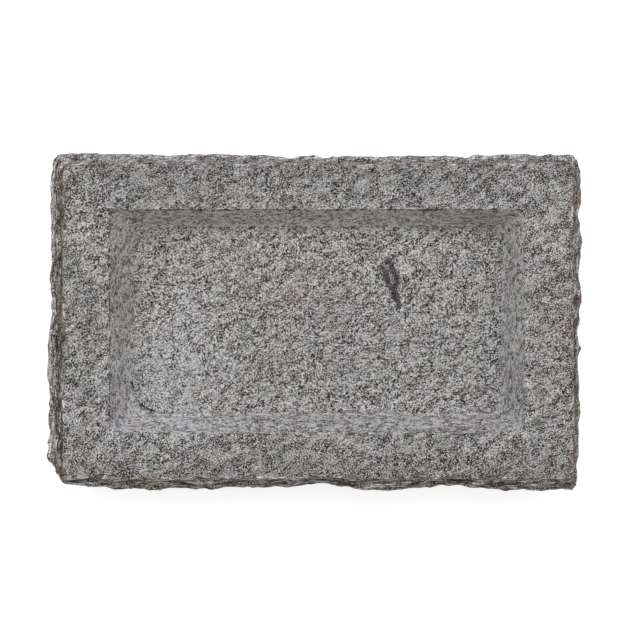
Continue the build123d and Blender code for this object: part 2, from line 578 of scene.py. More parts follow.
    def floor_patch(self, ring: np.ndarray) -> np.ndarray:
        """Fills the inside of the innermost ring with a grid that blends its four sides: the two pairs of
        opposite sides are blended straight across and the blend of the four corners is taken off.

        Args:
            ring: The ring's places, shape (count, 3).

        Returns:
            Grid of places, shape (short count + 1, long count + 1, 3), whose border is the ring.
        """
        rows, columns = self.places.inner_shape()
        front, right, back, left = self.borders(ring)
        across = np.linspace(0, 1, columns + 2)[None, :, None]
        up = np.linspace(0, 1, rows + 2)[:, None, None]
        corners = (
            front[0] * (1 - across) * (1 - up) + front[-1] * across * (1 - up)
            + back[0] * (1 - across) * up + back[-1] * across * up
        )
        return (
            front[None] * (1 - up) + back[None] * up + left[:, None] * (1 - across) + right[:, None] * across
            - corners
        )

    def relief(
        self, places: np.ndarray, wall: np.ndarray, side: np.ndarray, facing: np.ndarray,
    ) -> np.ndarray:
        """Heights of the rough surface over the smooth one: low swells with finer noise on the dressed top
        and in the basin, and split stone on the sides.

        Args:
            places: Places on the smooth surface, shape (count, 3).
            wall: How much each place is on a wall of the basin, from 0 to 1.
            side: How much each place is on a split side, from 0 to 1.
            facing: 0 where the stone faces front or back, 1 where it faces left or right.

        Returns:
            Heights along the outward directions, shape (count,).
        """
        rough = self.sizes.roughness
        dressed = rough.noise(places, rough.top) * (1 - wall) + rough.noise(places, rough.walls) * wall
        return (dressed * (1 - side) + rough.split_side(places, facing) * side) * MM

    def bites(self, places: np.ndarray) -> np.ndarray:
        """Breaks chips out of the corners, the edge of the top and the rim of the basin.

        Args:
            places: Places on the rough surface, shape (count, 3).

        Returns:
            The places with the chips broken out.
        """
        chance = np.random.default_rng(17)
        cut = places.copy()
        for centre_mm, radius_mm in CORNER_CHIPS:
            chip(cut, np.array(centre_mm) * MM, radius_mm * MM)
        for outline, chips in ((self.top, self.sizes.top_chips), (self.rim, self.sizes.basin_chips)):
            edge, direction = self.places.on(outline)
            for place in chance.integers(0, len(edge), chips.count):
                radius = chance.uniform(*chips.radii_mm) * MM
                bite = chance.uniform(*chips.depths_mm) * MM
                lean = np.array([*(direction[place] * chips.outwards), chance.uniform(0.3, 1.1)])
                lean /= np.linalg.norm(lean)
                chip(cut, np.array([*edge[place], self.height]) + lean * (radius - bite), radius)
        return cut

    def on_points(self, count: int, where: slice, values: Sequence[float] | np.ndarray) -> np.ndarray:
        """Gives every point of the mesh a value: what is given for some rings, and 0 everywhere else.

        Args:
            count: How many rings there are.
            where: The rings that the values are for.
            values: One value for each of those rings, or one for each of their places.

        Returns:
            The value at each point.
        """
        on_rings = np.zeros((count, sum(self.places.counts())))
        on_rings[where] = np.reshape(values, (len(values), -1))
        return np.concatenate([on_rings.ravel(), np.zeros(math.prod(self.places.inner_shape()))])

    def build(self) -> bpy.types.Object:
        """Makes the stone's mesh object with its zones as attributes: the smooth rings and floor are moved
        along their outward directions by the relief's height, and then the chips are cut.

        Returns:
            The object, at the origin, with its place in its mesh.
        """
        wall_rings, wall_share = self.wall_rings(), np.array(WALL_RING_SHARES)
        side_rings, side_shares = self.side_rings()
        rings = np.array(wall_rings + self.rim_rings() + side_rings)
        count, on_wall, on_side = len(rings), slice(len(wall_rings)), slice(-len(side_rings), None)
        depth = np.array(side_shares) * self.height
        round_ring = np.roll(rings, -1, axis=1) - np.roll(rings, 1, axis=1)
        ring_normals = np.cross(np.gradient(rings, axis=0), round_ring)
        ring_normals /= np.linalg.norm(ring_normals, axis=2, keepdims=True)
        inner = self.floor_patch(rings[0])[1:-1, 1:-1].reshape(-1, 3)
        places = np.vstack([rings.reshape(-1, 3), inner])
        normals = np.vstack([ring_normals.reshape(-1, 3), np.tile([0.0, 0.0, 1.0], (len(inner), 1))])

        rough_wall, shown_wall = (
            self.on_points(count, on_wall, eased(wall_share, *foot) * eased(wall_share, *head))
            for foot, head in (ROUGH_WALL, SHOWN_WALL)
        )
        broken = self.on_points(count, on_side, eased(depth, 0.0, SPLIT_DEPTH_MM * MM))
        resting = self.on_points(count, slice(-len(UNDER_SHARES), None), UNDER_SHARES)
        facing = eased(np.abs(normals[:, 0]) - np.abs(normals[:, 1]), -0.15, 0.15)
        height = self.relief(places, rough_wall, broken, facing) * (1 - resting)
        rough = self.bites(places + normals * height[:, None])
        rough[:, 2] = np.maximum(rough[:, 2], 0)

        # The exposure of ridges and hollows goes to the material, which paints light and shade from it
        relief = self.exposure(rough[: rings[..., 0].size].reshape(rings.shape), ring_normals)
        relief[on_wall] *= WALL_RELIEF_SHARE
        side_look = np.clip((depth / MM + EDGE_RINGS_MM[0][0]) / SPLIT_DEPTH_MM, 0, 1)
        side_look = np.concatenate([EDGE_SIDE_LOOK, side_look[len(EDGE_SIDE_LOOK) - 1:]])
        steps = np.linalg.norm(np.diff(rings[on_side], axis=0), axis=2)
        return self.as_object(rough, self.faces(count), {
            Zone.WALL: shown_wall,
            Zone.SIDE: self.on_points(count, slice(-len(side_look), None), side_look),
            Zone.CALM: self.calm(places),
            Zone.TURN: facing,
            Zone.RELIEF: self.on_points(count, slice(None), relief),
            Zone.TONE: self.tone(rough),
            Zone.CREASE: self.on_points(count, on_wall, self.crease_shades(wall_share)),
            Zone.VEIN: self.vein(rough),
            Zone.DROP: self.on_points(count, slice(-len(steps), None), np.cumsum(steps, axis=0) / MM),
            Zone.WARMTH: self.patches(rough, WARMTH_PATCHES),
        })

    def as_object(
        self, points: np.ndarray, faces: list[list[int]], zones: dict[Zone, np.ndarray],
    ) -> bpy.types.Object:
        """Makes a smooth mesh object with a flat underside.

        Args:
            points: The mesh's points, shape (count, 3).
            faces: Its faces, as points' numbers, with the underside last.
            zones: Each zone's number at every point.

        Returns:
            The object.
        """
        mesh = bpy.data.meshes.new("granite_stone")
        mesh.from_pydata(points.tolist(), [], faces)
        mesh.update()
        mesh.polygons.foreach_set("use_smooth", np.ones(len(faces), dtype=bool))
        mesh.polygons[len(faces) - 1].use_smooth = False
        for zone, values in zones.items():
            layer = mesh.attributes.new(zone.value, "FLOAT", "POINT")
            layer.data.foreach_set("value", values.astype(np.float32))
        stone = bpy.data.objects.new("granite_stone", mesh)
        bpy.context.scene.collection.objects.link(stone)
        log.info("granite_stone: %d points, %d faces", len(points), len(faces))
        return stone

    def exposure(self, rough: np.ndarray, normals: np.ndarray) -> np.ndarray:
        """How far ridges and edges stand proud of the surface around them, and how deep hollows lie: the
        height of each place over a blurred copy of the surface. Two copies are used, one blurred little and
        one much.

        Args:
            rough: The rings of the rough surface, shape (count, around, 3).
            normals: Outward directions, of the same shape.

        Returns:
            Exposure from -1 in hollows to 1 on ridges, shape (count, around).
        """
        total = np.zeros(rough.shape[:2])
        soft = rough
        for passes, full in ((5, 0.35 * MM), (30, 1.1 * MM)):
            for _ in range(passes):
                soft = (np.roll(soft, 1, axis=1) + 2 * soft + np.roll(soft, -1, axis=1)) / 4
                padded = np.concatenate([soft[:1], soft, soft[-1:]])
                soft = (padded[:-2] + 2 * soft + padded[2:]) / 4
            total += 0.5 * np.clip(np.sum((rough - soft) * normals, axis=2) / full, -1, 1)
        return total

    def faces(self, count: int) -> list[list[int]]:
        """Faces between neighbouring rings, over the floor and under the block, all facing outwards.

        Args:
            count: How many rings there are.

        Returns:
            The faces, each as its points' numbers. The last one is the underside.
        """
        numbers = np.arange(count * sum(self.places.counts())).reshape(count, -1)
        following = np.roll(numbers, -1, axis=1)
        bands = np.stack([numbers[:-1], numbers[1:], following[1:], following[:-1]], axis=-1).reshape(-1, 4)
        rows, columns = self.places.inner_shape()
        grid = np.zeros((rows + 2, columns + 2), dtype=int)
        grid[0], grid[:, -1], grid[-1], grid[:, 0] = self.borders(numbers[0])
        grid[1:-1, 1:-1] = (numbers.size + np.arange(rows * columns)).reshape(rows, columns)
        floor = np.stack([grid[:-1, :-1], grid[:-1, 1:], grid[1:, 1:], grid[1:, :-1]], axis=-1).reshape(-1, 4)
        return bands.tolist() + floor.tolist() + [numbers[-1][::-1].tolist()]

    def calm(self, places: np.ndarray) -> np.ndarray:
        """How smooth the stone is worn. The basin's floor is a little rougher than the rest, except in an
        uneven strip along the foot of the walls that is widest in the corners, and in one worn patch. Its
        middle is the roughest.

        Args:
            places: Places on the stone, shape (count, 3).

        Returns:
            The smoothness at each place, from -0.12 to 0.95.
        """
        floor = self.floor.drawn_in(-1 * MM)
        middle = np.array([floor.left + floor.right, floor.front + floor.back]) / 2
        half = np.array([floor.right - floor.left, floor.back - floor.front]) / 2
        offset = places[:, :2] - middle
        radius = np.where(offset[:, 0] < 0, 26 * MM, 16 * MM)
        past = np.abs(offset) - half + radius[:, None]
        outside = np.linalg.norm(np.clip(past, 0, None), axis=1) + np.minimum(past.max(axis=1), 0) - radius
        uneven = outside + 3 * MM * smooth_noise(places, 10 * MM, 51)
        uneven += 1.5 * MM * smooth_noise(places, 4 * MM, 52)
        reach = np.where(offset[:, 0] < -half[0] + 30 * MM, 13 * MM, 6 * MM)
        on_floor = eased(places[:, 2], self.height - 0.6 * self.depth, self.height - 0.9 * self.depth)
        border = 0.5 * eased(uneven / reach, -1.0, 0.0) * on_floor
        inside_basin = eased(places[:, 2], self.height - 0.4 * MM, self.height - 1.8 * MM)
        within = (np.abs(offset) < half + 14 * MM).all(axis=1)
        smooth = np.maximum(border, self.patches(places, WORN_PATCHES)) + 0.1
        return (smooth - self.patches(places, ROUGH_PATCHES)) * inside_basin * within

    def tone(self, places: np.ndarray) -> np.ndarray:
        """How much lighter or darker the stone is painted: the basin's floor is paler, partly as stone and
        partly as painted light against the basin's shade, and broad soft patches differ, some of them painted
        light and shade along the walls and the edges.

        Args:
            places: Places on the stone, shape (count, 3).

        Returns:
            Change of brightness at each place.
        """
        above_floor = places[:, 2] - (self.height - self.depth)
        in_basin = (np.abs(places[:, :2]) < np.array(BASIN_REACH_MM) * MM).all(axis=1)
        return FLOOR_TONE_AND_LIGHT * eased(above_floor, 6 * MM, 2 * MM) * in_basin + self.patches(places, TONE_AND_LIGHT_PATCHES)

    def patches(self, places: np.ndarray, table: Iterable[tuple[float, ...]]) -> np.ndarray:
        """Adds up broad soft patches.

        Args:
            places: Places on the stone, shape (count, 3).
            table: Place, reach both ways and change of each patch.

        Returns:
            Change at each place.
        """
        total = np.zeros(len(places))
        for x_mm, y_mm, x_reach_mm, y_reach_mm, change in table:
            across = (places[:, 0] / MM - x_mm) / x_reach_mm
            up = (places[:, 1] / MM - y_mm) / y_reach_mm
            total += change * np.exp(-0.5 * (across**2 + up**2))
        return total

    def crease_shades(self, wall_share: np.ndarray) -> np.ndarray:
        """Where shade is painted dark on the rings of the basin's walls: narrow strips along the head and the
        foot of each wall, as strong as the crease shares say for its side.

        Args:
            wall_share: The share of the depth that each ring stands for.

        Returns:
            Strength, shape (rings, around).
        """
        head = np.clip(1 - np.abs(wall_share - 0.02) / 0.06, 0, 1)
        foot = np.clip(1 - np.abs(wall_share - 1.03) / 0.09, 0, 1)
        strengths = np.array(CREASE_SHADE_SHARES)[self.places.sides()]
        return head[:, None] * strengths[:, 0] + foot[:, None] * strengths[:, 1]

    def vein(self, places: np.ndarray) -> np.ndarray:
        """Strength of the dark mineral vein in the basin's floor. Each arm follows a crooked line and fades
        out with the distance from it over the line's own reach.

        Args:
            places: Places on the stone, shape (count, 3).

        Returns:
            Strength at each place, from 0 to 1.
        """
        flat = places[:, :2] / MM
        vein = np.zeros(len(places))
        for strength, arm in VEIN_ARMS:
            for (*start, start_reach), (*end, end_reach) in zip(arm, arm[1:]):
                run = np.subtract(end, start)
                share = np.clip((flat - start) @ run / (run @ run), 0, 1)
                gap = np.linalg.norm(flat - start - share[:, None] * run, axis=1)
                reach = start_reach + (end_reach - start_reach) * share
                vein = np.maximum(vein, strength * np.exp(-((gap / reach) ** 2)))
        return vein * (places[:, 2] > self.height / 4)


# Shares of the basin's depth that have a ring, from the foot of its walls up over the rim's rounded edge
WALL_RING_SHARES = (
    1.2, 1.14, 1.09, 1.045, 1.0, 0.955, 0.91, *np.linspace(0.86, 0.1, 17),
    0.06, 0.03, 0.01, -0.01, -0.035, -0.07,
)

# Shares of the rim's width that have a ring, and the share of the depth at which the rim starts
RIM_RING_SHARES = np.linspace(0.03, 1, 17)
RIM_START_SHARE = -0.09

# The first rings of the split sides, which round the top's edge off: how far inside and below it they lie
EDGE_RINGS_MM = ((0.9, 0.12), (0.35, 0.45), (0.0, 1.0))

# The last rings, in under the block: how far inside its foot and above the ground each is, and then how far
# each has lost the relief
UNDER_RINGS_MM = ((0.5, 0.6), (1.6, 0.15), (3.2, 0.0))
UNDER_SHARES = (0.5, 0.9, 1.0)

# How many rings lie between each main ring of the split sides and the next one
SIDE_STEPS = (6, 5, 8, 9, 9, 6)

# The first of them starts a part of a step down, clear of the rounded edge
FIRST_SIDE_STEP = 0.6

# Shares of the basin's depth over which its walls' roughness and look come in, at the foot and the head
ROUGH_WALL = ((1.02, 0.92), (0.0, 0.05))
SHOWN_WALL = ((1.08, 0.92), (-0.07, 0.11))

# How much of the relief's painted light and shade shows on the walls
WALL_RELIEF_SHARE = 0.2

# The depth below the top's edge at which a split side has its full roughness and its full look of stains and
# painted light and shade, and how much of that look the rim's last ring and the sides' first two have
SPLIT_DEPTH_MM = 5.0
EDGE_SIDE_LOOK = (0.12, 0.2, 0.35)

# How much paler the basin's floor is, partly as paler stone and partly as painted light against the basin's
# shade, and how far from the middle it reaches at most
FLOOR_TONE_AND_LIGHT = 0.053
BASIN_REACH_MM = (155.0, 80.0)

# Patches of the basin's floor that are worn smoother, and rougher ones: place, reach both ways, strength
WORN_PATCHES = ((-110.0, -38.0, 27.0, 30.0, 0.85),)
ROUGH_PATCHES = ((-25.0, 5.0, 65.0, 45.0, 0.22),)

# Broad patches of the top and the basin that are lighter or darker: place, reach both ways, change. The
# broad patches are the stone's own tone; the long narrow strips along the walls and the edges are painted
# light and shade
TONE_AND_LIGHT_PATCHES = (
    (-108.0, -32.0, 28.0, 42.0, 0.112),
    (0.0, 55.0, 130.0, 13.0, 0.045),
    (-15.0, 0.0, 65.0, 45.0, -0.032),
    (125.0, 0.0, 20.0, 60.0, 0.01),
    (150.0, 0.0, 5.0, 70.0, 0.025),
    (0.0, -78.0, 140.0, 4.5, 0.025),
    (0.0, 66.0, 130.0, 9.0, 0.085),
    (-145.0, 0.0, 5.0, 70.0, -0.018),
    (0.0, 100.0, 1000.0, 10.0, 0.008),
    (0.0, -98.0, 1000.0, 10.0, -0.005),
    (0.0, -66.0, 130.0, 6.0, 0.035),
    (0.0, -116.0, 1000.0, 7.5, -0.086),
    (0.0, 114.0, 1000.0, 7.0, -0.06),
    (189.0, 0.0, 3.5, 1000.0, -0.055),
    (-186.0, 0.0, 3.0, 1000.0, -0.035),
    (-197.0, 0.0, 2.5, 1000.0, 0.065),
)

# Broad patches that are browner, or bluer where the change is below 0
WARMTH_PATCHES = (
    (-20.0, 58.0, 120.0, 32.0, 0.015),
    (0.0, 102.0, 1000.0, 14.0, -0.004),
    (-15.0, 5.0, 70.0, 35.0, 0.006),
    (-138.0, 20.0, 14.0, 50.0, 0.008),
    (-107.0, -38.0, 26.0, 24.0, -0.016),
    (142.0, 10.0, 12.0, 50.0, -0.007),
    (0.0, 80.0, 120.0, 6.0, 0.015),
    (0.0, -105.0, 1000.0, 14.0, 0.006),
    (0.0, -126.0, 1000.0, 4.0, 0.038),
    (176.0, -20.0, 14.0, 70.0, 0.01),
    (190.0, 0.0, 4.5, 1000.0, 0.01),
    (-184.0, 0.0, 4.5, 1000.0, 0.01),
)

# Large chips that are broken out of the block's corners: centre and radius of each ball
CORNER_CHIPS = (
    ((-204.0, -116.0, 62.0), 13.5),
    ((-198.0, -127.0, 70.0), 15.0),
)

# How strongly shade is painted at the head and the foot of each wall: front, right, back, left
CREASE_SHADE_SHARES = ((0.0, 0.42), (0.3, 0.3), (0.85, 0.3), (0.6, 0.3))

# Arms of the dark vein in the basin's floor: strength, then the place and reach of each point
VEIN_ARMS = (
    (0.94, ((53.6, 41.0, 2.6), (55.8, 34.7, 2.2), (58.2, 28.8, 2.2), (61.2, 22.8, 2.6), (63.7, 18.3, 2.3),
            (65.1, 14.2, 1.8), (64.1, 9.9, 1.4))),
    (0.94, ((57.1, 46.9, 2.5), (59.9, 42.1, 2.2), (61.9, 37.1, 2.4), (63.8, 33.0, 2.6), (64.1, 29.4, 2.4),
            (61.9, 26.4, 2.2))),
    (0.5, ((57.0, 39.0, 2.2), (60.0, 32.0, 2.2), (62.0, 27.0, 2.2))),
    (0.72, ((69.8, 31.9, 1.3), (71.0, 31.4, 1.1))),
)


# What goes into a node's sockets, by name or number: a fixed value or another node's
Inputs = dict[str | int, object]


class Value:
    """A number, vector or shader in a node tree. Arithmetic on it adds the nodes that do the same."""

    def __init__(self, sheet: Sheet, socket: bpy.types.NodeSocket) -> None:
        """Keeps the sheet that it is on and the socket that gives it."""
        self.sheet = sheet
        self.socket = socket

    def __add__(self, other: Value | float) -> Value:
        """The sum of both."""
        return self.sheet.sum_up("ADD", self, other)

    def __sub__(self, other: Value | float) -> Value:
        """This one less the other."""
        return self.sheet.sum_up("SUBTRACT", self, other)

    def __rsub__(self, other: float) -> Value:
        """A fixed number less this one."""
        return self.sheet.sum_up("SUBTRACT", other, self)

    def __mul__(self, other: Value | float) -> Value:
        """The product of both."""
        return self.sheet.sum_up("MULTIPLY", self, other)

    def spread(self, low: float, high: float, to_low: float = 0.0, to_high: float = 1.0) -> Value:
        """Maps a range of numbers to another with soft ends."""
        inputs = {"Value": self, "From Min": low, "From Max": high, "To Min": to_low, "To Max": to_high}
        return self.sheet.value("ShaderNodeMapRange", inputs, interpolation_type="SMOOTHSTEP")

    def band(self, start: float, full: float, last_full: float, end: float) -> Value:
        """1 between the inner two numbers, fading to 0 at the outer two."""
        return self.spread(start, full) * self.spread(end, last_full)


class Sheet:
    """Short words for laying out the nodes of one material or world."""

    def __init__(self, owner: bpy.types.Material | bpy.types.World) -> None:
        """Clears the owner's nodes."""
        owner.use_nodes = True
        self.tree = owner.node_tree
        self.tree.nodes.clear()

    def add(self, kind: str, inputs: Inputs | None = None, **settings: object) -> bpy.types.Node:
        """Adds a node.

        Args:
            kind: The node's type.
            inputs: What goes into its sockets.
            settings: Properties of the node.

        Returns:
            The node.
        """
        node = self.tree.nodes.new(kind)
        for name, value in settings.items():
            setattr(node, name, value)
        for name, value in (inputs or {}).items():
            if isinstance(value, Value):
                self.tree.links.new(value.socket, node.inputs[name])
            else:
                node.inputs[name].default_value = value
        return node

    def value(
        self, kind: str, inputs: Inputs | None = None, output: str | int = 0, **settings: object,
    ) -> Value:
        """Adds a node and gives one of its outputs."""
        return Value(self, self.add(kind, inputs, **settings).outputs[output])

    def sum_up(self, operation: str, *values: object) -> Value:
        """One step of arithmetic on numbers."""
        return self.value("ShaderNodeMath", dict(enumerate(values)), operation=operation)

    def move(self, operation: str, first: object, second: object = (0.0, 0.0, 0.0)) -> Value:
        """One step of arithmetic on vectors.

        Args:
            operation: The step's name.
            first: The vector that it is done to.
            second: The other vector, or the number for SCALE.

        Returns:
            The vector, or the number where the step gives one.
        """
        name = 3 if operation == "SCALE" else 1
        output = "Value" if operation in ("DISTANCE", "DOT_PRODUCT", "LENGTH") else "Vector"
        return self.value("ShaderNodeVectorMath", {0: first, name: second}, output, operation=operation)

    def mixed(self, share: Value, first: Value, second: Value) -> Value:
        """The number at a share of the way from one to another."""
        return self.value("ShaderNodeMix", {"Factor": share, "A": first, "B": second}, "Result")

    def cloud(self, where: Value, size_mm: float, layers: float, rough: float = 0.55) -> Value:
        """Cloudy noise around 0, whose coarsest features are about a size in millimetres."""
        inputs = {"Vector": where, "Scale": 1 / size_mm, "Detail": layers, "Roughness": rough}
        return self.value("ShaderNodeTexNoise", inputs, "Fac") - 0.5

    def grains(self, where: Value, size_mm: float) -> Value:
        """Packed grains, each with its own number.

        Args:
            where: The place in millimetres.
            size_mm: Usual size of a grain.

        Returns:
            The number, around 0.
        """
        cells = {"Vector": where, "Scale": 1 / size_mm, "Randomness": 1.0}
        colour = self.value("ShaderNodeTexVoronoi", cells, "Color")
        return self.value("ShaderNodeSeparateColor", {"Color": colour}) - 0.5

    def attribute(self, zone: Zone) -> Value:
        """A number kept on the mesh's points."""
        return self.value("ShaderNodeAttribute", output="Fac", attribute_name=zone.value)

    def seen(self) -> Value:
        """1 for what the camera sees, also as a reflection, and 0 for what only lights the scene."""
        rays = self.add("ShaderNodeLightPath").outputs
        return self.sum_up("MAXIMUM", Value(self, rays["Is Camera Ray"]), Value(self, rays["Is Glossy Ray"]))


@dataclass(frozen=True)
class GraniteFinish:
    """Grey granite: pale feldspar and quartz with crowded specks of dark mica, raw on the sides, where stains
    and painted light and shade lie on it.

    Sizes are in millimetres. Strengths are changes of brightness as a screen shows it, from 0 to 1. What
    starts with floor is a factor for the basin's floor, except its own ceiling of brightness and its
    chained specks.
    """

    slant: float = 32.0
    drawn_out: float = 1.12
    fine_mm: float = 0.72
    fine: float = 5.3
    grain_mm: float = 0.6
    grain: float = 1.6
    floor_fine: float = 1.2
    worm_mm: float = 1.0
    worm: float = 1.7
    floor_smoother: float = 0.8
    chain_mm: float = 3.0
    floor_chain: float = 2.4
    cluster_mm: float = 5.5
    crowd: float = 4.6
    floor_crowd: float = 0.6
    crowd_range: float = 0.45
    drift_crowd: float = 1.6
    front_crowd: float = 2.8
    lively: float = 0.5
    pale: float = 0.06
    dark_until: float = 0.32
    pale_from: float = 0.52
    dark: float = 0.545
    floor_dark: float = 1.1
    wall_pale: float = 0.2
    calm_pale: float = 0.35
    patch_mm: float = 12.0
    patch: float = 0.2
    brightest: float = 0.26
    floor_brightest: float = 0.27
    soft_top: float = 0.1
    side_brightest: float = 0.84
    calm_worn: float = -0.4
    side_worn: float = -0.25
    wall_worn: float = -0.35
    streak_mm: tuple[float, float, float] = (3.2, 1.3, 2.3)
    side_streak_mm: tuple[float, float, float] = (7.0, 0.85, 2.0)
    seam_mm: tuple[float, float] = (17.0, 2.1)
    # Painted light that makes the basin's walls lighter, standing in for the light their rough faces catch
    # from above
    wall_painted_light: float = 0.232
    tint_mm: float = 8.0
    tint: float = 0.11
    pink_mm: float = 6.3
    pink: float = 0.13
    warm: float = 0.006
    broad_mm: float = 26.0
    broad: float = 0.1
    middle: float = 0.492
    darkest: float = 0.1
    gamma: float = 2.2
    bump_mm: float = 0.5


class GraniteNodes:
    """Lays out the granite: brightness as it shows on a screen is added up first, then turned to light.

    Places, heights and distances are millimetres in the stone's own axes, and all noises lie around 0.
    """

    def __init__(self, finish: GraniteFinish) -> None:
        """Starts the material with the places, zones and noises that its steps share.

        Args:
            finish: Sizes and strengths.
        """
        self.finish = finish
        self.material = bpy.data.materials.new("granite")
        self.sheet = sheet = Sheet(self.material)
        self.true_place = sheet.move("SCALE", sheet.value("ShaderNodeTexCoord", output="Object"), 1 / MM)
        axes = sheet.add("ShaderNodeSeparateXYZ", {"Vector": self.true_place}).outputs
        self.across, self.depthwise, self.height = (Value(sheet, axis) for axis in axes)
        turned = {"Vector": self.true_place, "Angle": math.radians(-finish.slant)}
        place = sheet.value("ShaderNodeVectorRotate", turned, rotation_type="Z_AXIS")
        self.place = sheet.move("MULTIPLY", place, (1 / finish.drawn_out, finish.drawn_out, 1.0))
        self.fine = sheet.cloud(self.place, finish.fine_mm, 1.0)
        self.worm = sheet.cloud(self.place, finish.worm_mm, 1.0)
        self.grain = sheet.grains(self.place, finish.grain_mm)
        drawn_out = sheet.move("MULTIPLY", self.place, (0.85, 1.1, 1.0))
        self.cluster = sheet.cloud(drawn_out, finish.cluster_mm, 2.0)
        self.chain = sheet.cloud(self.place, finish.chain_mm, 2.0)
        self.patch = sheet.cloud(self.place, finish.patch_mm, 2.0)
        self.drift = sheet.cloud(drawn_out, finish.tint_mm, 1.0)

        # The borders between zones are broken up by the noises
        uneven = self.cluster.spread(-0.1, 0.1, -0.3, 0.3)
        self.side = (sheet.attribute(Zone.SIDE) + uneven).spread(0.4, 0.6)
        self.wall = (self.worm * 1.2 + sheet.attribute(Zone.WALL) + uneven).spread(0.35, 0.65)
        self.calm = sheet.attribute(Zone.CALM)
        self.low = (1.0 - self.side) * self.height.spread(52.0, 44.0)
        self.turn = sheet.attribute(Zone.TURN)
        self.back = (1.0 - self.turn) * self.depthwise.spread(80.0, 112.0)
        self.left = self.turn * self.across.spread(-174.0, -182.0)

    def speckle(self) -> tuple[Value, Value]:
        """The stone's speckled pattern. Dark specks follow thin lines and crowd together in some places,
        which leaves others pale and calm. The grain is livelier where the specks crowd.

        Returns:
            Brightness around 0, and how dark a speck is there, from 0 to 1.
        """
        finish, low, reach = self.finish, self.low, self.finish.crowd_range
        drift_crowd = self.depthwise.spread(-84.0, -92.0, -finish.drift_crowd, -finish.front_crowd)
        crowd = self.cluster * low.spread(0.0, 1.0, finish.crowd, finish.crowd * finish.floor_crowd)
        crowd = crowd + self.drift * drift_crowd + self.chain * (low * finish.floor_chain)
        kind = self.worm * (low * -finish.floor_smoother + finish.worm) + crowd
        kind = kind + self.wall * finish.wall_pale + self.calm * finish.calm_pale + 0.5
        dark = kind.spread(finish.dark_until, finish.pale_from, 1.0, 0.0)

        value = self.grain * finish.grain + self.fine * finish.fine
        value = value * (low * (finish.floor_fine - 1.0) + 1.0)
        value = value * crowd.spread(-reach, reach, 1.0 + finish.lively, 1.0 - finish.lively)
        value = value + crowd.spread(-reach, reach, -finish.pale, finish.pale) + self.patch * finish.patch
        value = value + dark * low.spread(0.0, 1.0, -finish.dark, -finish.dark * finish.floor_dark)
        ceiling = low.spread(0.0, 1.0, finish.brightest, finish.floor_brightest)
        return self.sheet.sum_up("SMOOTH_MIN", value, ceiling, finish.soft_top), dark

    def streaks(self, size_mm: tuple[float, float, float]) -> Value:
        """Noise drawn out along the length of whichever side a place is on.

        Args:
            size_mm: Length of a streak, its width, and its height.

        Returns:
            The noise, around 0.
        """
        along, across, up = (1 / size for size in size_mm)
        return self.sheet.mixed(self.turn, *(
            self.sheet.cloud(self.sheet.move("MULTIPLY", self.true_place, scale), 1.0, 1.0, 0.6)
            for scale in ((along, across, up), (across, along, up))
        ))

    def seams(self) -> Value:
        """Noise in long thin seams that follow the split sides, on the distance down the side and along it.

        Returns:
            The noise, around 0.
        """
        length, width = self.finish.seam_mm
        down = self.sheet.attribute(Zone.DROP) * (1 / width)
        parts = []
        for number, run in enumerate((self.across, self.depthwise)):
            where = {"X": run * (1 / length), "Y": down, "Z": 3.0 * number}
            parts.append(self.sheet.cloud(self.sheet.value("ShaderNodeCombineXYZ", where), 1.0, 1.0))
        return self.sheet.mixed(self.turn, *parts)

    def on_walls(self, value: Value) -> Value:
        """Adds thin dark streaks along the basin's walls, and painted light that lifts the walls."""
        streak = self.streaks(self.finish.streak_mm).spread(-0.2, 0.0, -0.36, 0.0)
        return value + self.wall * (streak + self.finish.wall_painted_light)

    def on_sides(self, value: Value) -> Value:
        """Paints light and shade on the split sides: long thin streaks and seams for the light and shade of
        small ledges, a dark band under the edge of the top that is partly stain and partly painted shade, and
        a painted highlight where the stone stands out furthest. The back side, which faces the key lamp, is
        painted paler and has no dark band.

        Args:
            value: The stone's brightness.

        Returns:
            The brightness with stains and painted light and shade on the sides.
        """
        level = self.height + self.cluster * 10.0 + self.patch * 18.0
        upper = level.spread(40.0, 66.0)
        front = 1.0 - self.back
        # The streaks and seams paint the light and shade of small ledges along the side
        change = self.streaks(self.finish.side_streak_mm) * (upper * 0.4 + 0.5)

        seam_light_and_shade = self.seams()
        seam_light_and_shade = seam_light_and_shade.spread(-0.15, -0.03, -0.32, 0.0) + seam_light_and_shade.spread(0.05, 0.18, 0.0, 0.24)
        right = self.turn * self.across.spread(170.0, 180.0, 0.0, 0.45)
        change = change + seam_light_and_shade * upper * (front.spread(0.0, 1.0, 0.35, 1.0) - right)

        # A dark band under the edge of the top, partly stain and partly painted shade, and a painted
        # highlight on the ledge below it
        stain_and_shade = level.band(64.5, 68.0, 74.5, 79.0) * -0.11
        stain_and_shade = stain_and_shade + level.band(60.0, 63.0, 65.0, 68.0) * self.left * 0.11
        facing = self.turn.spread(0.0, 1.0, 1.0, 0.55) + self.left * -0.4
        painted_ledge_highlight = self.height.spread(66.0, 71.5, -0.03, 0.2) * facing
        # The back side, which faces the key lamp, is painted paler and has no dark band
        change = change + (stain_and_shade + painted_ledge_highlight) * front + self.back * self.height.spread(66.0, 71.0, 0.1, 0.085)
        ceiling = self.side.spread(0.0, 1.0, 1.0, self.finish.side_brightest)
        return self.sheet.sum_up("SMOOTH_MIN", value + self.side * change, ceiling, self.finish.soft_top)

    def line_mask(self, distance: Value, half_width: float) -> Value:
        """1 within half a width of a line, with soft edges, broken up by the grain."""
        near = distance.spread(half_width * 0.6, half_width * 1.4, 1.0, 0.0)
        return near * self.worm.spread(-0.16, 0.0, 0.25, 1.0)

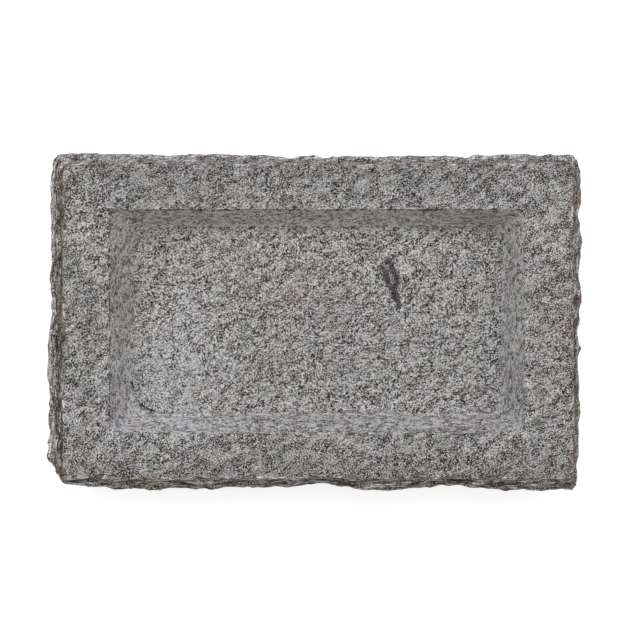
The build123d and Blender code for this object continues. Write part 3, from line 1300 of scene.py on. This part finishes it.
    def scratches(self) -> tuple[Value, Value]:
        """The arc that a round tool cut into the basin's floor, with rust outside it, and a short crack.
        The crack's distance is taken to the nearest point of each straight stretch.

        Returns:
            How dark and how rusty each place is, from 0 to 1.
        """
        sheet = self.sheet
        flat = sheet.move("MULTIPLY", self.true_place, (1.0, 1.0, 0.0))
        arc = sheet.move("SUBTRACT", flat, (*GROOVE_CENTRE_MM, 0.0))
        past = sheet.move("LENGTH", arc) - GROOVE_RADIUS_MM
        stretches = []
        for angle, reach, fade in ((GROOVE_ANGLE, GROOVE_REACH, 1 / 6), (RUST_ANGLE, RUST_REACH, 0.1)):
            along = sheet.move("DOT_PRODUCT", arc, (math.cos(angle), math.sin(angle), 0.0))
            edge = GROOVE_RADIUS_MM * math.cos(reach)
            stretches.append(along.spread(edge, edge + GROOVE_RADIUS_MM * fade))
        line = self.line_mask(sheet.sum_up("ABSOLUTE", past), GROOVE_HALF_WIDTH_MM) * stretches[0]
        rust = past.band(0.3, 0.8, 1.6, 3.4) * stretches[1]
        for start, end in zip(CRACK_MM, CRACK_MM[1:]):
            run = np.subtract(end, start)
            offset = sheet.move("SUBTRACT", flat, (*start, 0.0))
            share = sheet.move("DOT_PRODUCT", offset, (*(run / (run @ run)), 0.0))
            foot = sheet.move("SCALE", (*run, 0.0), sheet.value("ShaderNodeClamp", {"Value": share}))
            crack = self.line_mask(sheet.move("DISTANCE", offset, foot), CRACK_HALF_WIDTH_MM)
            line = sheet.sum_up("MAXIMUM", line, crack * CRACK_STRENGTH)
        above = self.height.spread(30.0, 31.0)
        return line * above, rust * above

    def darkened(self, value: Value, mask: Value, kept: float, level: float) -> Value:
        """Draws a brightness towards a dark level where the mask says so, keeping a share of its pattern."""
        return self.sheet.mixed(mask, value, value * kept + level)

    def tints(self, rust: Value, vein: Value) -> Value:
        """Colours to add to the grey: from blue to brown, from green to pink, and from blue to olive. They
        are added to the brightness, so that dark grains are tinted as strongly as pale ones.

        Args:
            rust: How rusty each place is.
            vein: How strong the dark vein is, whose head is violet.

        Returns:
            The colour to add at each place.
        """
        sheet, finish = self.sheet, self.finish
        stronger = self.side + 1.0
        front_wall = self.wall * self.depthwise.spread(-60.0, -74.0)
        near_edge = sheet.attribute(Zone.SIDE).spread(0.04, 0.4)
        left_edge = self.left * self.height.spread(70.0, 74.0)
        violet = vein * self.depthwise.spread(36.0, 41.0, 0.3, 1.0)
        far_place = sheet.move("ADD", self.true_place, (500.0, 0.0, 0.0))

        warm = self.cluster.spread(-0.15, 0.15, finish.warm, -finish.warm) + sheet.attribute(Zone.WARMTH)
        warm = warm + near_edge * self.height.spread(65.0, 70.0, 0.02, 0.028) * (1.0 - self.back)
        warm = warm + rust * 0.035 + front_wall * -0.023
        pink = sheet.cloud(self.place, finish.pink_mm, 1.5) * finish.pink * stronger
        pink = pink + sheet.cloud(far_place, finish.broad_mm, 1.0) * (finish.broad * 0.6)
        pink = pink + self.side * 0.008 + self.back * self.side.spread(0.0, 1.0, 0.0, 0.011)
        pink = pink + front_wall * 0.019 + left_edge * -0.014 + violet * 0.03
        olive = self.drift * stronger * finish.tint + violet * -0.03
        olive = olive + sheet.cloud(self.true_place, finish.broad_mm, 1.0) * finish.broad

        tint = (0.016, 0.0, -0.012)
        for colour, strength in (
            ((0.85, 0.0, -1.0), warm), ((0.62, -0.38, -0.1), pink), ((0.25, 0.05, -0.9), olive),
        ):
            tint = sheet.move("ADD", sheet.move("SCALE", colour, strength), tint)
        return sheet.move("SCALE", tint, finish.middle)

    def lay_out(self) -> bpy.types.Material:
        """Puts the steps together.

        Returns:
            The material.
        """
        sheet, finish = self.sheet, self.finish
        value, dark = self.speckle()
        worn = self.calm * finish.calm_worn + 1.0
        worn = worn + self.side * finish.side_worn + self.wall * finish.wall_worn
        value = value * worn + sheet.attribute(Zone.TONE) + finish.middle
        value = self.on_sides(self.on_walls(value))
        # Painted light on ridges and painted shade in hollows, from the relief, stronger on the sides and
        # weaker on the back
        relief_light_and_shade = self.patch.spread(-0.12, 0.12, 0.02, 0.12) + self.side * 0.06 + self.back * -0.05
        value = value + sheet.attribute(Zone.RELIEF) * relief_light_and_shade

        line, rust = self.scratches()
        # Painted shade in the creases at the head and the foot of the walls, darkened together with the
        # groove and the crack
        crease = sheet.attribute(Zone.CREASE)
        painted_crease_shade = (crease + self.worm * 1.6 + self.patch * 2.2).spread(0.5, 0.9, 0.0, 0.8)
        line = sheet.sum_up("MAXIMUM", line, painted_crease_shade * crease.spread(0.1, 0.3))
        value = self.darkened(value, line, 0.3, 0.03)
        vein = (sheet.attribute(Zone.VEIN) + self.grain * 0.35 + self.worm * 2.2).spread(0.34, 0.56)
        value = sheet.sum_up("MAXIMUM", self.darkened(value, vein, 0.42, 0.02), finish.darkest)

        grey = sheet.value("ShaderNodeCombineXYZ", {"X": value, "Y": value, "Z": value})
        shown = sheet.move("ADD", grey, self.tints(rust, vein))
        roughness = self.worm * 0.5 + self.chain * 1.5 - line
        bump = {"Height": roughness, "Strength": 1.0, "Distance": MM * finish.bump_mm}
        shader = sheet.value("ShaderNodeBsdfPrincipled", {
            "Base Color": sheet.value("ShaderNodeGamma", {"Color": shown, "Gamma": finish.gamma}),
            "Roughness": dark.spread(1.0, 0.0, 0.68, 0.88),
            "Normal": sheet.value("ShaderNodeBump", bump),
            "Specular IOR Level": 0.25,
        })
        sheet.add("ShaderNodeOutputMaterial", {"Surface": shader})
        return self.material


# The groove that a round tool left in the basin's floor: its circle, half its width, the middle of the
# stretch that shows, half of that stretch, and the same for the rust outside it
GROOVE_CENTRE_MM = (-118.7, -48.7)
GROOVE_RADIUS_MM = 20.6
GROOVE_HALF_WIDTH_MM = 0.75
GROOVE_ANGLE = math.radians(-121)
GROOVE_REACH = math.radians(32)
RUST_ANGLE = math.radians(-147)
RUST_REACH = math.radians(20)

# The short crack beside it
CRACK_MM = ((-109.9, -63.3), (-107.9, -64.3), (-108.4, -70.2))
CRACK_HALF_WIDTH_MM = 0.45
CRACK_STRENGTH = 0.75


@dataclass(frozen=True)
class Lamp:
    """A broad distant light, by where it stands as seen from the stone."""

    name: str
    azimuth: float
    elevation: float
    strength: float
    spread: float

    def light(self) -> None:
        """Puts the lamp in the scene. Azimuth 0 stands at +Y, and it grows towards +X."""
        data = bpy.data.lights.new(self.name, "SUN")
        data.energy = self.strength
        data.angle = math.radians(self.spread)
        lamp = bpy.data.objects.new(self.name, data)
        lamp.rotation_euler = (math.radians(self.elevation - 90), 0, math.radians(-self.azimuth))
        bpy.context.scene.collection.objects.link(lamp)


@dataclass(frozen=True)
class Studio:
    """A pale floor, plain soft light and a camera straight above the stone."""

    camera_above_top_mm: float = 859.0
    camera_x_mm: float = -1.1
    camera_y_mm: float = 6.9
    lens_mm: float = 67.3
    sensor_mm: float = 36.0
    floor_reach: float = 3.0
    floor_glow: float = 0.68
    world_level: float = 0.44
    lamps: tuple[Lamp, ...] = (
        Lamp("key", 0.0, 62.0, 1.55, 50.0),
        Lamp("left_fill", -90.0, 40.0, 0.42, 60.0),
        Lamp("right_fill", 90.0, 40.0, 0.32, 60.0),
        Lamp("front_fill", 180.0, 45.0, 0.1, 60.0),
    )

    def set_up(self, top_height: float) -> None:
        """Makes the floor, world, lamps and camera.

        Args:
            top_height: Height of the stone's top over the floor.
        """
        scene = bpy.context.scene
        scene.view_settings.view_transform = "Standard"
        self.floor()
        self.world()
        for lamp in self.lamps:
            lamp.light()
        data = bpy.data.cameras.new("camera")
        data.lens = self.lens_mm
        data.sensor_width = self.sensor_mm
        camera = bpy.data.objects.new("camera", data)
        camera.location = (
            self.camera_x_mm * MM, self.camera_y_mm * MM, top_height + self.camera_above_top_mm * MM,
        )
        scene.collection.objects.link(camera)
        scene.camera = camera

    def floor(self) -> None:
        """Lays the pale floor, which shows near white to the camera and keeps the stone's soft shadow."""
        reach = self.floor_reach
        corners = [(-reach, -reach, 0), (reach, -reach, 0), (reach, reach, 0), (-reach, reach, 0)]
        mesh = bpy.data.meshes.new("floor")
        mesh.from_pydata(corners, [], [(0, 1, 2, 3)])
        floor = bpy.data.objects.new("floor", mesh)
        bpy.context.scene.collection.objects.link(floor)
        material = bpy.data.materials.new("pale_floor")
        sheet = Sheet(material)
        glow = {"Color": (1, 1, 1, 1), "Strength": sheet.seen() * self.floor_glow}
        both = sheet.value("ShaderNodeAddShader", {
            0: sheet.value("ShaderNodeEmission", glow),
            1: sheet.value("ShaderNodeBsdfDiffuse", {"Color": (0.5, 0.5, 0.5, 1)}),
        })
        sheet.add("ShaderNodeOutputMaterial", {"Surface": both})
        mesh.materials.append(material)

    def world(self) -> None:
        """Lights the scene evenly from all round, and shows white behind the floor."""
        world = bpy.data.worlds.new("studio")
        bpy.context.scene.world = world
        sheet = Sheet(world)
        glow = {"Color": (1, 1, 1, 1), "Strength": sheet.seen().spread(0.0, 1.0, self.world_level, 1.0)}
        sheet.add("ShaderNodeOutputWorld", {"Surface": sheet.value("ShaderNodeBackground", glow)})


def main() -> None:
    """Builds and dresses the stone, and sets up the studio."""
    logging.basicConfig(level=logging.INFO, format="%(name)s: %(message)s")
    bath = BirdBath(StoneSizes(), RingPlaces())
    stone = bath.build()
    stone.data.materials.append(GraniteNodes(GraniteFinish()).lay_out())
    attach(stone, "root")
    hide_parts("granite_block")
    Studio().set_up(bath.height)
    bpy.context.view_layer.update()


if __name__ == "__main__":
    main()
